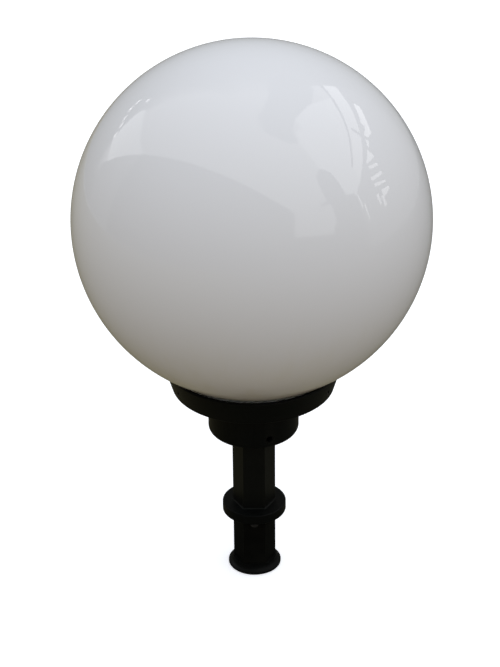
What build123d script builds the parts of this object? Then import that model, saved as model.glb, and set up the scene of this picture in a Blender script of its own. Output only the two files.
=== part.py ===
"""Garden globe light for the top of a pole: an opal globe on a stepped black fitter and a hexagonal stem.

Units are millimetres and +Z is up. The origin is the centre of the shoe's flat underside, where the pole
goes in. The light is built upwards from the shoe, so each height is worked out from the piece below it.
"""

from build123d import *
from math import asin, cos, degrees, pi, radians, sin, sqrt
import os

os.makedirs("parts", exist_ok=True)

# ---------------------------------------------------------------- driving dimensions
# Pole socket: for a half-inch steel pipe, 21.3 mm outside
pole_bore_diameter = 21.8
pole_stop_thickness = 1.5  # left between the pipe's end and the collar's top face

# Shoe, the flared ring at the stem's lower end
shoe_diameter = 48.0
shoe_height = 7.5
shoe_foot_height = 2.0  # straight part below the flare
shoe_ledge = 0.6  # round top of the shoe, past the tube's corners
shoe_edge_radius = 0.6

# Hexagonal stem tubes
tube_across_flats = 33.2
tube_wall = 2.0
lower_tube_length = 50.7
upper_tube_shown = 76.4
tube_in_cap = 21.0  # how far the upper tube goes up into the pole cap
tube_fit = 0.15  # clearance on each side of a tube
tube_edge_radius = 0.6

# Collar between the tubes
collar_diameter = 57.3
collar_thickness = 9.4
collar_edge_radius = 1.2
plug_length = 18.0  # hexagonal plugs of the collar and the shoe inside the tubes

# Clamp screw at the front, just under the collar
clamp_screw_below_collar = 5.0

# Hollow threaded tie tube that pulls collar, upper tube and pole cap together
tie_diameter = 10.0
tie_bore_diameter = 8.0
tie_above_lip = 12.0
tie_fit = 0.1
tie_washer_diameter = 22.0
tie_washer_thickness = 1.2
tie_nut_across_flats = 14.0
tie_nut_height = 4.0
bush_diameter = 13.0
bush_rim_height = 2.0
bush_bore_diameter = 6.4

# Pole cap, the small lower step of the fitter
cap_diameter = 80.0
cap_height = 43.6
cap_wall = 3.0
cap_floor = 5.0
cap_edge_radius = 4.4
socket_wall = 3.0
socket_lip = 3.0
boss_diameter = 11.0
weep_hole_diameter = 6.0
weep_hole_above_base = 9.5
weep_hole_angle = 290.0
gasket_thickness = 1.5
gasket_land = 1.95  # rubber left between the screws' holes and the gasket's bore

# Gallery, the wide upper step that carries the globe
gallery_flare = 0.297  # growth of the radius for each millimetre of height
gallery_wall = 3.0
gallery_edge_radius = 0.9
gallery_floor = 4.0
gallery_wire_hole_diameter = 40.0
rim_gap = 1.9  # between the rim and the globe's skin above it
neck_gasket_thickness = 2.0
neck_gasket_overhang = 1.0
neck_side_gap = 5.8  # between the neck and the gallery's wall, at the floor

# Globe
globe_diameter = 300.0
globe_wall = 3.0
neck_diameter = 124.0
neck_length = 11.8
neck_bend_radius = 3.0
seat_gap = 0.3  # left between loose pieces that rest on each other

# Screws: thread diameter, head diameter, head height
M3 = (3.0, 5.6, 2.2)
M4 = (4.0, 8.0, 2.6)
M5 = (5.0, 8.5, 3.3)
screw_fit = 0.05
set_screw_diameter = 5.0
head_taper = 9.0  # degrees, on the side of a screw's head
slot_share = 0.16  # width of a screw's slot in its head
socket_key = 2.5  # key of the set screws, across flats
socket_depth = 2.5
neck_screw_above_floor = 6.8
neck_boss_diameter = 11.0
neck_boss_depth = 3.0
gallery_screw_radius = 31.0
gallery_screw_length = 16.0

# Terminal block
pole_pitch = 12.0
block_poles = 2
block_depth = 14.0
block_height = 9.5
block_inner_face = 14.0  # distance from the axis
block_corner_radius = 1.0
terminal_tube_diameter = 4.4
terminal_bore_diameter = 2.9
terminal_recess = 1.0
terminal_screw = (2.5, 3.6, 1.4)
terminal_screw_inset = 3.4  # from the block's two long faces
block_screw_length = 15.0

# Lampholder for a 27 mm Edison screw
holder_diameter = 41.0
holder_mouth_diameter = 38.0
holder_height = 46.0
holder_base_height = 18.0
holder_edge_radius = 1.5
sleeve_diameter = 28.0
sleeve_wall = 0.4
sleeve_length = 26.5
sleeve_fit = 0.2
wire_hole_span = 14.0
wire_hole_behind = 13.5
wire_hole_depth = 8.0
holder_screw_span = 22.0
holder_screw_length = 8.0
bracket_length = 64.0
bracket_width = 18.0
bracket_thickness = 1.5
bracket_rise = 7.0
bracket_deck_length = 40.0
bracket_screw_span = 54.0
bracket_screw_length = 2.8
contact_width = 6.0
contact_thickness = 0.5
contact_rise = 2.6
contact_screw_offset = 7.5
contact_screw_length = 4.0

# Bulb, a 60 mm pear shape with a screw cap
bulb_diameter = 60.0
bulb_length = 107.4
bulb_thread_root_diameter = 24.8
bulb_thread_depth = 0.7
bulb_thread_pitch = 3.63
bulb_thread_turns = 5
bulb_cap_wall = 0.4
bulb_tip_diameter = 9.0
bulb_tip_height = 2.0
bulb_insulator_height = 3.0
bulb_housing_foot_diameter = 27.4
bulb_housing_height = 40.0
bulb_wall = 1.2
bulb_board_thickness = 1.5
led_count = 8
led_ring_share = 0.62  # radius of the ring of LEDs, as a share of the board's
led_length, led_width, led_height = 3.5, 2.8, 0.8

# Insulated leads
lead_diameter = 2.4
lead_bend = 3.0
lead_run_out = 8.0  # distance of a lead's upright run from the light's centre plane

# ---------------------------------------------------------------- heights, from the shoe upwards
shoe_top = shoe_height
collar_bottom = shoe_top + lower_tube_length
collar_top = collar_bottom + collar_thickness
pole_bore_top = collar_top - pole_stop_thickness
cap_bottom = collar_top + upper_tube_shown
cap_top = cap_bottom + cap_height
tube_top = cap_bottom + tube_in_cap
lip_top = tube_top + socket_lip
tie_top = lip_top + tie_above_lip
gallery_bottom = cap_top + gasket_thickness
floor_top = gallery_bottom + gallery_floor
gasket_top = floor_top + neck_gasket_thickness
neck_bottom = gasket_top + seat_gap

globe_radius = globe_diameter / 2
globe_inner_radius = globe_radius - globe_wall
neck_radius = neck_diameter / 2
neck_inner_radius = neck_radius - globe_wall
globe_centre = neck_bottom + neck_length + sqrt(globe_radius**2 - neck_radius**2)

deck_top = floor_top + bracket_rise + bracket_thickness
holder_top = deck_top + holder_height
well_floor = deck_top + holder_base_height
bulb_bottom = well_floor + contact_thickness + contact_rise + seat_gap
bulb_cap_bottom = bulb_bottom + bulb_tip_height + bulb_insulator_height
bulb_housing_bottom = holder_top + seat_gap
bulb_housing_top = bulb_housing_bottom + bulb_housing_height
bulb_top = bulb_bottom + bulb_length
dome_radius = bulb_diameter / 2
dome_inner_radius = dome_radius - bulb_wall
dome_centre = bulb_top - dome_radius
top_radius = sqrt(dome_radius**2 - (dome_centre - bulb_housing_top) ** 2)

# ---------------------------------------------------------------- sizes that pieces share
tube_inner_flats = tube_across_flats - 2 * tube_wall
plug_flats = tube_inner_flats - 2 * tube_fit
tube_corner_radius = tube_across_flats / 2 / cos(pi / 6)
socket_flats = tube_across_flats + 2 * tube_fit
pole_radius = pole_bore_diameter / 2
gasket_inner_radius = gallery_screw_radius - M4[0] / 2 - screw_fit - gasket_land
gallery_foot_radius = neck_radius + neck_side_gap + gallery_wall
neck_screw_height = floor_top + neck_screw_above_floor
block_bottom = lip_top
block_top = block_bottom + block_height
block_length = block_poles * pole_pitch
block_middle = block_inner_face + block_depth / 2
terminal_height = block_bottom + block_height / 2
terminal_length = block_depth - 2 * terminal_recess
deck_bottom = deck_top - bracket_thickness
well_radius = sleeve_diameter / 2 + sleeve_fit

rear_angles = (30, 150)  # the two flats away from the front
boss_angles = (30, 150, 270)
neck_screw_angles = (90, 210, 330)


def gallery_radius(height):
    """Outer radius of the gallery's flared wall at a height."""
    return gallery_foot_radius + gallery_flare * (height - gallery_bottom)


skin_above_foot = globe_centre - sqrt(globe_radius**2 - gallery_foot_radius**2)
rim_inner_radius = gallery_radius(skin_above_foot) - gallery_wall
rim_top = globe_centre - sqrt(globe_radius**2 - rim_inner_radius**2) - rim_gap


# ---------------------------------------------------------------- helpers
def save(piece, name):
    """Label a finished piece and write it as a STEP file of its own."""
    piece.part.label = name
    export_step(piece.part, f"parts/{name}.step")


def facing_out(angle, distance, height):
    """A plane that faces straight away from the axis, with its own Y upwards."""
    across, along = cos(radians(angle)), sin(radians(angle))
    return Plane(
        origin=(distance * across, distance * along, height),
        x_dir=(-along, across, 0),
        z_dir=(across, along, 0),
    )


def disc(diameter, bottom, height, bore=0.0, mode=Mode.ADD):
    """A round plate or ring in the current part."""
    with BuildSketch(Plane.XY.offset(bottom)) as outline:
        Circle(diameter / 2)
        if bore:
            Circle(bore / 2, mode=Mode.SUBTRACT)
    extrude(outline.sketch, amount=height, mode=mode)


def hexagon(across_flats, bottom, height, mode=Mode.ADD):
    """A hexagonal prism in the current part, with corners towards +X and -X."""
    with BuildSketch(Plane.XY.offset(bottom)) as outline:
        RegularPolygon(across_flats / 2, 6, major_radius=False)
    extrude(outline.sketch, amount=height, mode=mode)


def hole(plane, diameter, depth):
    """A round hole into the current part, from the plane backwards."""
    with BuildSketch(plane) as outline:
        Circle(diameter / 2)
    extrude(outline.sketch, amount=-depth, mode=Mode.SUBTRACT)


def headed_screw(plane, size, length):
    """A slotted cheese head on the plane, and a shank of that length behind it."""
    thread_diameter, head_diameter, head_height = size
    with BuildSketch(plane) as outline:
        Circle(thread_diameter / 2)
    extrude(outline.sketch, amount=-length)
    with BuildSketch(plane) as outline:
        Circle(head_diameter / 2)
    extrude(outline.sketch, amount=head_height, taper=head_taper)
    with BuildSketch(plane.offset(head_height)) as outline:
        Rectangle(head_diameter, head_diameter * slot_share)
    extrude(outline.sketch, amount=-head_height * 0.5, mode=Mode.SUBTRACT)


def set_screw(plane, diameter, length):
    """A headless screw behind the plane, with a hexagonal key socket in its outer end."""
    with BuildSketch(plane) as outline:
        Circle(diameter / 2)
    extrude(outline.sketch, amount=-length)
    with BuildSketch(plane) as outline:
        RegularPolygon(socket_key / 2, 6, major_radius=False)
    extrude(outline.sketch, amount=-socket_depth, mode=Mode.SUBTRACT)


def round_edges(piece, radius, height):
    """Round the circular edges of a piece that lie at a height."""
    circles = piece.edges().filter_by(GeomType.CIRCLE)
    edges = circles.filter_by_position(Axis.Z, height - 0.01, height + 0.01)
    fillet(edges.sort_by(SortBy.RADIUS)[-1], radius)


# ================================================================ stem
pole_screw_height = shoe_top + plug_length / 2
pole_screw_faces = [facing_out(angle, tube_across_flats / 2, pole_screw_height) for angle in rear_angles]
pole_screw_length = tube_across_flats / 2 - pole_radius - seat_gap

with BuildPart() as pole_shoe:
    with BuildSketch(Plane.XZ):
        with BuildLine():
            foot = shoe_diameter / 2
            waist = tube_corner_radius + shoe_ledge
            rise = shoe_top - shoe_foot_height
            flare = Bezier(
                (foot, shoe_foot_height),
                (foot - (foot - waist) * 0.6, shoe_foot_height + rise * 0.15),
                (waist, shoe_top - rise * 0.5),
                (waist, shoe_top),
            )
            Polyline(flare @ 1, (0, shoe_top), (0, 0), (foot, 0), flare @ 0)
        make_face()
    revolve(axis=Axis.Z)
    round_edges(pole_shoe, shoe_edge_radius, 0)
    hexagon(plug_flats, shoe_top, plug_length)
    disc(pole_bore_diameter, 0, shoe_top + plug_length, mode=Mode.SUBTRACT)
    for face in pole_screw_faces:
        hole(face, set_screw_diameter + 2 * screw_fit, tube_across_flats / 2)
save(pole_shoe, "pole_shoe")

with BuildPart() as pole_set_screws:
    for face in pole_screw_faces:
        set_screw(face, set_screw_diameter, pole_screw_length)
save(pole_set_screws, "pole_set_screws")

clamp_screw_height = collar_bottom - clamp_screw_below_collar
clamp_screw_face = facing_out(270, tube_across_flats / 2, clamp_screw_height)

with BuildPart() as lower_tube:
    hexagon(tube_across_flats, shoe_top, lower_tube_length)
    fillet(lower_tube.edges().filter_by(Axis.Z), tube_edge_radius)
    hexagon(tube_inner_flats, shoe_top, lower_tube_length, mode=Mode.SUBTRACT)
    hole(clamp_screw_face, M5[0] + 2 * screw_fit, tube_wall)
    for face in pole_screw_faces:
        hole(face, set_screw_diameter + 2 * screw_fit, tube_wall)
save(lower_tube, "lower_tube")

with BuildPart() as stem_collar:
    disc(collar_diameter, collar_bottom, collar_thickness)
    round_edges(stem_collar, collar_edge_radius, collar_bottom)
    round_edges(stem_collar, collar_edge_radius, collar_top)
    hexagon(plug_flats, collar_bottom - plug_length, plug_length)
    hexagon(plug_flats, collar_top, plug_length)
    disc(pole_bore_diameter, collar_bottom - plug_length, pole_bore_top - collar_bottom + plug_length,
         mode=Mode.SUBTRACT)
    disc(tie_diameter + 2 * tie_fit, pole_bore_top, pole_stop_thickness + plug_length, mode=Mode.SUBTRACT)
    hole(clamp_screw_face, M5[0] + 2 * screw_fit, tube_across_flats / 2)
save(stem_collar, "stem_collar")

with BuildPart() as clamp_screw:
    headed_screw(clamp_screw_face, M5, pole_screw_length)
save(clamp_screw, "clamp_screw")

with BuildPart() as upper_tube:
    hexagon(tube_across_flats, collar_top, tube_top - collar_top)
    fillet(upper_tube.edges().filter_by(Axis.Z), tube_edge_radius)
    hexagon(tube_inner_flats, collar_top, tube_top - collar_top, mode=Mode.SUBTRACT)
save(upper_tube, "upper_tube")

with BuildPart() as tie_tube:
    disc(tie_diameter, pole_bore_top, tie_top - pole_bore_top, bore=tie_bore_diameter)
save(tie_tube, "tie_tube")

washer_top = lip_top + tie_washer_thickness
with BuildPart() as tie_washer:
    disc(tie_washer_diameter, lip_top, tie_washer_thickness, bore=tie_diameter + 2 * tie_fit)
save(tie_washer, "tie_washer")

with BuildPart() as tie_nut:
    hexagon(tie_nut_across_flats, washer_top, tie_nut_height)
    disc(tie_diameter + 2 * tie_fit, washer_top, tie_nut_height, mode=Mode.SUBTRACT)
save(tie_nut, "tie_nut")

with BuildPart() as cable_bush:
    disc(bush_diameter, tie_top, bush_rim_height)
    round_edges(cable_bush, bush_rim_height / 2, tie_top + bush_rim_height)
    disc(tie_bore_diameter - 2 * tie_fit, tie_top - 2 * bush_rim_height, 2 * bush_rim_height)
    disc(bush_bore_diameter, tie_top - 2 * bush_rim_height, 3 * bush_rim_height, mode=Mode.SUBTRACT)
save(cable_bush, "cable_bush")

# ================================================================ fitter
gallery_screw_end = floor_top - gallery_screw_length
boss_bottom = gallery_screw_end - 2 * seat_gap
pedestal_outer = block_inner_face + block_depth
block_screw_plane = Plane.XY.offset(block_bottom + block_height / 2).move(Location((0, block_middle, 0)))

with BuildPart() as pole_cap:
    disc(cap_diameter, cap_bottom, cap_height)
    round_edges(pole_cap, cap_edge_radius, cap_bottom)
    disc(cap_diameter - 2 * cap_wall, cap_bottom + cap_floor, cap_height - cap_floor, mode=Mode.SUBTRACT)
    hexagon(socket_flats + 2 * socket_wall, cap_bottom, lip_top - cap_bottom)
    with BuildSketch(Plane.XY.offset(cap_bottom)):
        for angle in boss_angles:
            with PolarLocations(gallery_screw_radius, 1, start_angle=angle):
                Circle(boss_diameter / 2)
        with Locations((0, (socket_flats / 2 + pedestal_outer) / 2)):
            Rectangle(block_length, pedestal_outer - socket_flats / 2)
        Circle(cap_diameter / 2 - cap_edge_radius, mode=Mode.INTERSECT)
    extrude(amount=lip_top - cap_bottom)
    with BuildSketch(Plane.XY.offset(lip_top)):
        for angle in boss_angles:
            with PolarLocations(gallery_screw_radius, 1, start_angle=angle):
                Circle(boss_diameter / 2)
        Circle(cap_diameter / 2 - cap_wall / 2, mode=Mode.INTERSECT)
    extrude(amount=cap_top - lip_top)
    hexagon(socket_flats, cap_bottom, tube_top - cap_bottom, mode=Mode.SUBTRACT)
    disc(tie_diameter + 2 * tie_fit, tube_top, socket_lip, mode=Mode.SUBTRACT)
    for angle in boss_angles:
        with BuildSketch(Plane.XY.offset(boss_bottom)):
            with PolarLocations(gallery_screw_radius, 1, start_angle=angle):
                Circle(M4[0] / 2 + screw_fit)
        extrude(amount=cap_top - boss_bottom, mode=Mode.SUBTRACT)
    hole(block_screw_plane, M3[0] + 2 * screw_fit, block_screw_length + seat_gap)
    weep_hole_face = facing_out(weep_hole_angle, cap_diameter / 2, cap_bottom + weep_hole_above_base)
    hole(weep_hole_face, weep_hole_diameter, 2 * cap_wall)
save(pole_cap, "pole_cap")

with BuildPart() as cap_gasket:
    disc(cap_diameter - 2 * seat_gap, cap_top, gasket_thickness, bore=2 * gasket_inner_radius)
    with BuildSketch(Plane.XY.offset(cap_top)):
        for angle in boss_angles:
            with PolarLocations(gallery_screw_radius, 1, start_angle=angle):
                Circle(M4[0] / 2 + screw_fit)
    extrude(amount=gasket_thickness, mode=Mode.SUBTRACT)
save(cap_gasket, "cap_gasket")

bracket_screw_places = [(-bracket_screw_span / 2, 0), (bracket_screw_span / 2, 0)]

with BuildPart() as gallery:
    with BuildSketch(Plane.XZ):
        with BuildLine():
            rim_radius = gallery_radius(rim_top)
            floor_radius = gallery_radius(floor_top) - gallery_wall
            Polyline(
                (0, gallery_bottom),
                (gallery_foot_radius, gallery_bottom),
                (rim_radius, rim_top),
                (rim_radius - gallery_wall, rim_top),
                (floor_radius, floor_top),
                (0, floor_top),
                (0, gallery_bottom),
            )
        make_face()
    revolve(axis=Axis.Z)
    for angle in neck_screw_angles:
        boss_end = gallery_radius(neck_screw_height) - gallery_wall - neck_boss_depth
        with BuildSketch(facing_out(angle, boss_end, neck_screw_height)):
            Circle(neck_boss_diameter / 2)
        extrude(amount=neck_boss_depth + gallery_wall / 2)
    round_edges(gallery, gallery_edge_radius, gallery_bottom)
    round_edges(gallery, gallery_edge_radius, rim_top)
    disc(gallery_wire_hole_diameter, gallery_bottom, gallery_floor, mode=Mode.SUBTRACT)
    for angle in neck_screw_angles:
        neck_screw_face = facing_out(angle, rim_radius, neck_screw_height)
        hole(neck_screw_face, set_screw_diameter + 2 * screw_fit, rim_radius - neck_radius)
    with BuildSketch(Plane.XY.offset(gallery_bottom)):
        for angle in boss_angles:
            with PolarLocations(gallery_screw_radius, 1, start_angle=angle):
                Circle(M4[0] / 2 + screw_fit)
        with Locations(*bracket_screw_places):
            Circle(M4[0] / 2 + screw_fit)
    extrude(amount=gallery_floor, mode=Mode.SUBTRACT)
save(gallery, "gallery")

with BuildPart() as gallery_screws:
    for angle in boss_angles:
        across, along = cos(radians(angle)), sin(radians(angle))
        spot = (gallery_screw_radius * across, gallery_screw_radius * along, floor_top)
        headed_screw(Plane(origin=spot), M4, gallery_screw_length)
save(gallery_screws, "gallery_screws")

with BuildPart() as neck_gasket:
    disc(neck_diameter + 2 * neck_gasket_overhang, floor_top, neck_gasket_thickness,
         bore=2 * (neck_inner_radius - neck_gasket_overhang))
save(neck_gasket, "neck_gasket")

for number, angle in enumerate(neck_screw_angles, start=1):
    screw_outer = gallery_radius(neck_screw_height)
    with BuildPart() as neck_screw:
        set_screw(facing_out(angle, screw_outer, neck_screw_height), set_screw_diameter,
                  screw_outer - neck_radius - seat_gap)
    save(neck_screw, f"neck_screw_{number}")

with BuildPart() as globe_shade:
    with BuildSketch(Plane.XZ):
        with BuildLine():
            outer_start = degrees(-asin(sqrt(1 - (neck_radius / globe_radius) ** 2)))
            inner_start = degrees(-asin(sqrt(1 - (neck_inner_radius / globe_inner_radius) ** 2)))
            outer = CenterArc((0, globe_centre), globe_radius, outer_start, 90 - outer_start)
            inner = CenterArc((0, globe_centre), globe_inner_radius, inner_start, 90 - inner_start)
            Polyline(outer @ 0, (neck_radius, neck_bottom), (neck_inner_radius, neck_bottom), inner @ 0)
            Line(outer @ 1, inner @ 1)
        make_face()
    revolve(axis=Axis.Z)
    bends = globe_shade.edges().filter_by(GeomType.CIRCLE).filter_by_position(
        Axis.Z, neck_bottom + 1, globe_centre - 1)
    fillet(bends.sort_by(SortBy.RADIUS)[-1], neck_bend_radius)
save(globe_shade, "globe_shade")

# ================================================================ electrical parts
pole_places = [(number - (block_poles - 1) / 2) * pole_pitch for number in range(block_poles)]
terminal_screw_ys = (block_inner_face + terminal_screw_inset, pedestal_outer - terminal_screw_inset)
terminal_screw_seat = terminal_height + terminal_tube_diameter / 2
terminal_screw_reach = (terminal_tube_diameter - terminal_bore_diameter) / 2

with BuildPart() as terminal_block:
    with BuildSketch(Plane.XY.offset(block_bottom)):
        with Locations((0, block_middle)):
            Rectangle(block_length, block_depth)
    extrude(amount=block_height)
    fillet(terminal_block.edges().filter_by(Axis.Z), block_corner_radius)
    with BuildSketch(Plane.XZ.offset(-pedestal_outer)):
        with Locations(*[(x, terminal_height) for x in pole_places]):
            Circle(terminal_tube_diameter / 2 + screw_fit)
    extrude(amount=block_depth, mode=Mode.SUBTRACT)
    with BuildSketch(Plane.XY.offset(block_top)):
        with Locations(*[(x, y) for x in pole_places for y in terminal_screw_ys]):
            Circle(terminal_screw[1] / 2 + 2 * screw_fit)
    extrude(amount=terminal_height - block_top, mode=Mode.SUBTRACT)
    with BuildSketch(Plane.XY.offset(block_top)):
        with Locations((0, block_middle)):
            Circle(M3[1] / 2 + 2 * screw_fit)
    extrude(amount=-block_height / 2, mode=Mode.SUBTRACT)
    hole(block_screw_plane, M3[0] + 2 * screw_fit, block_height)
save(terminal_block, "terminal_block")

with BuildPart() as block_screw:
    headed_screw(block_screw_plane, M3, block_screw_length)
save(block_screw, "block_screw")

with BuildPart() as terminal_tubes:
    with BuildSketch(Plane.XZ.offset(terminal_recess - pedestal_outer)):
        with Locations(*[(x, terminal_height) for x in pole_places]):
            Circle(terminal_tube_diameter / 2)
            Circle(terminal_bore_diameter / 2, mode=Mode.SUBTRACT)
    extrude(amount=terminal_length)
    with BuildSketch(Plane.XY.offset(terminal_height)):
        with Locations(*[(x, y) for x in pole_places for y in terminal_screw_ys]):
            Circle(terminal_screw[0] / 2 + screw_fit)
    extrude(amount=terminal_tube_diameter, mode=Mode.SUBTRACT)
save(terminal_tubes, "terminal_tubes")

with BuildPart() as terminal_screws:
    for x in pole_places:
        for y in terminal_screw_ys:
            headed_screw(Plane(origin=(x, y, terminal_screw_seat)), terminal_screw, terminal_screw_reach)
save(terminal_screws, "terminal_screws")

holder_screw_places = [(-holder_screw_span / 2, 0), (holder_screw_span / 2, 0)]

with BuildPart() as holder_bracket:
    with BuildSketch(Plane.XZ.offset(-bracket_width / 2)):
        with BuildLine():
            half_length = bracket_length / 2
            half_deck = bracket_deck_length / 2
            foot_top = floor_top + bracket_thickness
            inner_deck = half_deck - bracket_thickness
            Polyline(
                (-half_length, floor_top), (-inner_deck, floor_top), (-inner_deck, deck_bottom),
                (inner_deck, deck_bottom), (inner_deck, floor_top), (half_length, floor_top),
                (half_length, foot_top), (half_deck, foot_top), (half_deck, deck_top),
                (-half_deck, deck_top), (-half_deck, foot_top), (-half_length, foot_top),
                (-half_length, floor_top),
            )
        make_face()
    extrude(amount=bracket_width)
    with BuildSketch(Plane.XY.offset(floor_top)):
        with Locations(*bracket_screw_places):
            Circle(M4[0] / 2 + screw_fit)
        with Locations(*holder_screw_places):
            Circle(M3[0] / 2 + screw_fit)
    extrude(amount=deck_top - floor_top, mode=Mode.SUBTRACT)
save(holder_bracket, "holder_bracket")

with BuildPart() as bracket_screws:
    for x, y in bracket_screw_places:
        spot = (x, y, floor_top + bracket_thickness)
        headed_screw(Plane(origin=spot), M4, bracket_thickness + bracket_screw_length)
save(bracket_screws, "bracket_screws")

with BuildPart() as holder_screws:
    for x, y in holder_screw_places:
        upside_down = Plane(origin=(x, y, deck_bottom), z_dir=(0, 0, -1))
        headed_screw(upside_down, M3, bracket_thickness + holder_screw_length)
save(holder_screws, "holder_screws")

wire_hole_places = [(-wire_hole_span / 2, wire_hole_behind), (wire_hole_span / 2, wire_hole_behind)]

with BuildPart() as holder_body:
    with BuildSketch(Plane.XZ):
        with BuildLine():
            base_radius = holder_diameter / 2
            mouth_radius = holder_mouth_diameter / 2
            Polyline(
                (0, deck_top), (base_radius, deck_top), (base_radius, well_floor),
                (mouth_radius, holder_top), (well_radius, holder_top), (well_radius, well_floor),
                (0, well_floor), (0, deck_top),
            )
        make_face()
    revolve(axis=Axis.Z)
    round_edges(holder_body, holder_edge_radius, holder_top)
    with BuildSketch(Plane.XY.offset(deck_top)):
        with Locations(*wire_hole_places):
            Circle(terminal_bore_diameter / 2)
    extrude(amount=wire_hole_depth, mode=Mode.SUBTRACT)
    with BuildSketch(Plane.XY.offset(deck_top)):
        with Locations(*holder_screw_places):
            Circle(M3[0] / 2 + screw_fit)
    extrude(amount=holder_screw_length + seat_gap, mode=Mode.SUBTRACT)
    with BuildSketch(Plane.XY.offset(well_floor)):
        with Locations((-contact_screw_offset, 0)):
            Circle(M3[0] / 2 + screw_fit)
    extrude(amount=-contact_screw_length, mode=Mode.SUBTRACT)
save(holder_body, "holder_body")

with BuildPart() as holder_sleeve:
    disc(sleeve_diameter, well_floor, sleeve_length, bore=sleeve_diameter - 2 * sleeve_wall)
save(holder_sleeve, "holder_sleeve")

with BuildPart() as holder_contact:
    with BuildSketch(Plane.XZ.offset(-contact_width / 2)):
        with BuildLine():
            contact_end = contact_screw_offset + M3[1] / 2
            tongue = bulb_tip_diameter / 2 - contact_thickness
            knee = tongue / 2
            strip_top = well_floor + contact_thickness
            Polyline(
                (-contact_end, well_floor), (-tongue, well_floor), (-knee, well_floor + contact_rise),
                (tongue, well_floor + contact_rise), (tongue, strip_top + contact_rise),
                (-knee, strip_top + contact_rise), (-tongue, strip_top), (-contact_end, strip_top),
                (-contact_end, well_floor),
            )
        make_face()
    extrude(amount=contact_width)
    with BuildSketch(Plane.XY.offset(well_floor)):
        with Locations((-contact_screw_offset, 0)):
            Circle(M3[0] / 2 + screw_fit)
    extrude(amount=contact_thickness, mode=Mode.SUBTRACT)
save(holder_contact, "holder_contact")

with BuildPart() as contact_screw:
    spot = (-contact_screw_offset, 0, well_floor + contact_thickness)
    headed_screw(Plane(origin=spot), M3, contact_thickness + contact_screw_length - seat_gap)
save(contact_screw, "contact_screw")

# Each lead runs from a terminal towards the axis, then up through the gallery into the lampholder's base
lead_start = block_inner_face + 2 * terminal_recess
lead_knee = (floor_top + gallery_bottom) / 2 - lead_bend
lead_end = deck_top + wire_hole_depth - seat_gap
for name, side in (("live_lead", 0), ("neutral_lead", 1)):
    pole_x, (hole_x, hole_y) = pole_places[side], wire_hole_places[side]
    with BuildPart() as lead:
        with BuildLine() as route:
            FilletPolyline(
                (pole_x, lead_start, terminal_height),
                (pole_x, lead_run_out, terminal_height),
                (pole_x, lead_run_out, lead_knee),
                (hole_x, hole_y, deck_bottom - lead_bend),
                (hole_x, hole_y, lead_end),
                radius=lead_bend,
            )
        with BuildSketch(Plane(origin=route.line @ 0, z_dir=route.line % 0)):
            Circle(lead_diameter / 2)
        sweep(path=route.line)
    save(lead, name)

# ================================================================ bulb
with BuildPart() as bulb_tip:
    disc(bulb_tip_diameter, bulb_bottom, bulb_tip_height)
    round_edges(bulb_tip, bulb_tip_height * 0.6, bulb_bottom)
save(bulb_tip, "bulb_tip")

thread_root = bulb_thread_root_diameter / 2
with BuildPart() as bulb_insulator:
    with BuildSketch(Plane.XY.offset(bulb_bottom + bulb_tip_height)):
        Circle(bulb_tip_diameter / 2)
    with BuildSketch(Plane.XY.offset(bulb_cap_bottom)):
        Circle(thread_root - bulb_cap_wall)
    loft()
save(bulb_insulator, "bulb_insulator")

with BuildPart() as bulb_cap:
    with BuildSketch(Plane.XZ):
        with BuildLine():
            cap_inner = thread_root - bulb_cap_wall
            start = Line((cap_inner, bulb_cap_bottom), (thread_root, bulb_cap_bottom))
            ridge_bottom = bulb_cap_bottom
            for turn in range(bulb_thread_turns):
                ridge_top = ridge_bottom + bulb_thread_pitch
                ridge_middle = (ridge_bottom + ridge_top) / 2
                ThreePointArc(
                    (thread_root, ridge_bottom),
                    (thread_root + bulb_thread_depth, ridge_middle),
                    (thread_root, ridge_top),
                )
                ridge_bottom = ridge_top
            Polyline((thread_root, ridge_bottom), (thread_root, bulb_housing_bottom),
                     (cap_inner, bulb_housing_bottom), start @ 0)
        make_face()
    revolve(axis=Axis.Z)
save(bulb_cap, "bulb_cap")

with BuildPart() as bulb_housing:
    with BuildSketch(Plane.XZ):
        with BuildLine():
            foot_radius = bulb_housing_foot_diameter / 2
            outer = Bezier(
                (foot_radius, bulb_housing_bottom),
                (foot_radius + 1, bulb_housing_bottom + bulb_housing_height * 0.35),
                (top_radius - 2, bulb_housing_top - bulb_housing_height * 0.4),
                (top_radius, bulb_housing_top),
            )
            inner = Bezier(
                (foot_radius - 2 * bulb_wall, bulb_housing_bottom),
                (foot_radius + 1 - 2 * bulb_wall, bulb_housing_bottom + bulb_housing_height * 0.35),
                (top_radius - 2 - 2 * bulb_wall, bulb_housing_top - bulb_housing_height * 0.4),
                (top_radius - 2 * bulb_wall, bulb_housing_top),
            )
            Line(outer @ 0, inner @ 0)
            Line(outer @ 1, inner @ 1)
        make_face()
    revolve(axis=Axis.Z)
save(bulb_housing, "bulb_housing")

board_radius = top_radius - 2 * bulb_wall - seat_gap
with BuildPart() as bulb_board:
    disc(2 * board_radius, bulb_housing_top - bulb_board_thickness, bulb_board_thickness)
    with PolarLocations(board_radius * led_ring_share, led_count):
        with Locations((0, 0, bulb_housing_top + led_height / 2)):
            Box(led_length, led_width, led_height)
save(bulb_board, "bulb_board")

with BuildPart() as bulb_dome:
    with BuildSketch(Plane.XZ):
        with BuildLine():
            outer_start = -degrees(asin((dome_centre - bulb_housing_top) / dome_radius))
            inner_start = -degrees(asin((dome_centre - bulb_housing_top) / dome_inner_radius))
            outer = CenterArc((0, dome_centre), dome_radius, outer_start, 90 - outer_start)
            inner = CenterArc((0, dome_centre), dome_inner_radius, inner_start, 90 - inner_start)
            Line(outer @ 0, inner @ 0)
            Line(outer @ 1, inner @ 1)
        make_face()
    revolve(axis=Axis.Z)
save(bulb_dome, "bulb_dome")
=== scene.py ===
"""Garden globe light: an opal globe on a stepped black fitter, a hexagonal stem and a flared shoe."""

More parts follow.
